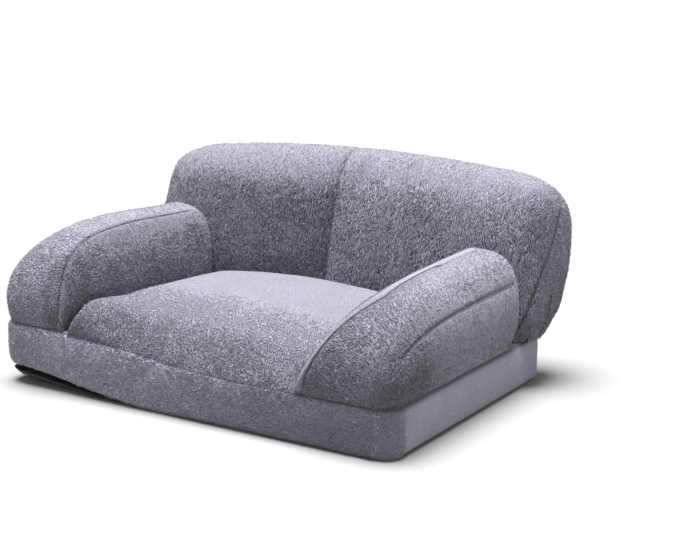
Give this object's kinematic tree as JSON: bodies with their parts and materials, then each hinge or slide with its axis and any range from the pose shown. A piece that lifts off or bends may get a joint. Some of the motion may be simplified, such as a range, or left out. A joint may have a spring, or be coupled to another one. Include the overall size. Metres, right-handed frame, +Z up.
{
  "type": "plush pet sofa bed",
  "caption": "Small plush pet sofa: boxed base cushion with non-slip underside, two bolster arms, a leaning backrest in two sections, and a zip at the back of the base.",
  "frame": {"origin": "on the floor, at the centre of the overall width and depth", "axes": "+X to the right of someone facing the seat, -Y to the front, +Z up"},
  "size_m": [0.48, 0.37, 0.23],
  "materials": {
    "plush": "deep short-pile plush, matt with a soft sheen on the tips",
    "fibre": "loose white hollow fibre",
    "foam": "open-cell foam",
    "grip_fabric": "black woven cloth with rubber dots",
    "zip_tape": "woven polyester tape",
    "zip_nylon": "satin nylon",
    "zip_metal": "satin plated zinc"
  },
  "bodies": {
    "sofa": {"base_foam": "foam", "seat_wadding": "fibre", "seat_top_panel": "plush", "front_border": "plush", "left_border": "plush", "right_border": "plush", "rear_border_lower": "plush", "rear_border_upper": "plush", "bottom_panel": "grip_fabric", "left_arm_fill": "fibre", "left_arm_inner_panel": "plush", "left_arm_top_panel": "plush", "left_arm_outer_panel": "plush", "right_arm_fill": "fibre", "right_arm_inner_panel": "plush", "right_arm_top_panel": "plush", "right_arm_outer_panel": "plush", "left_back_fill": "fibre", "right_back_fill": "fibre", "left_back_front_panel": "plush", "right_back_front_panel": "plush", "left_back_end_panel": "plush", "right_back_end_panel": "plush", "back_rear_panel": "plush", "zip_tape_lower": "zip_tape", "zip_tape_upper": "zip_tape", "zip_teeth": "zip_nylon", "zip_stop_left": "zip_metal", "zip_stop_right": "zip_metal"},
    "slider": {"zip_slider": "zip_metal"},
    "pull": {"zip_pull": "zip_metal"}
  },
  "joints": [
    {"name": "zip_travel", "type": "slide", "parent": "sofa", "child": "slider", "axis": [-1, 0, 0], "range_m": [0, 0.37]},
    {"name": "zip_pull_swing", "type": "hinge", "parent": "slider", "child": "pull", "pos_m": [0.1874, 0.14705, 0.0273], "axis": [0, 0, -1], "range_deg": [0, 150]}
  ]
}
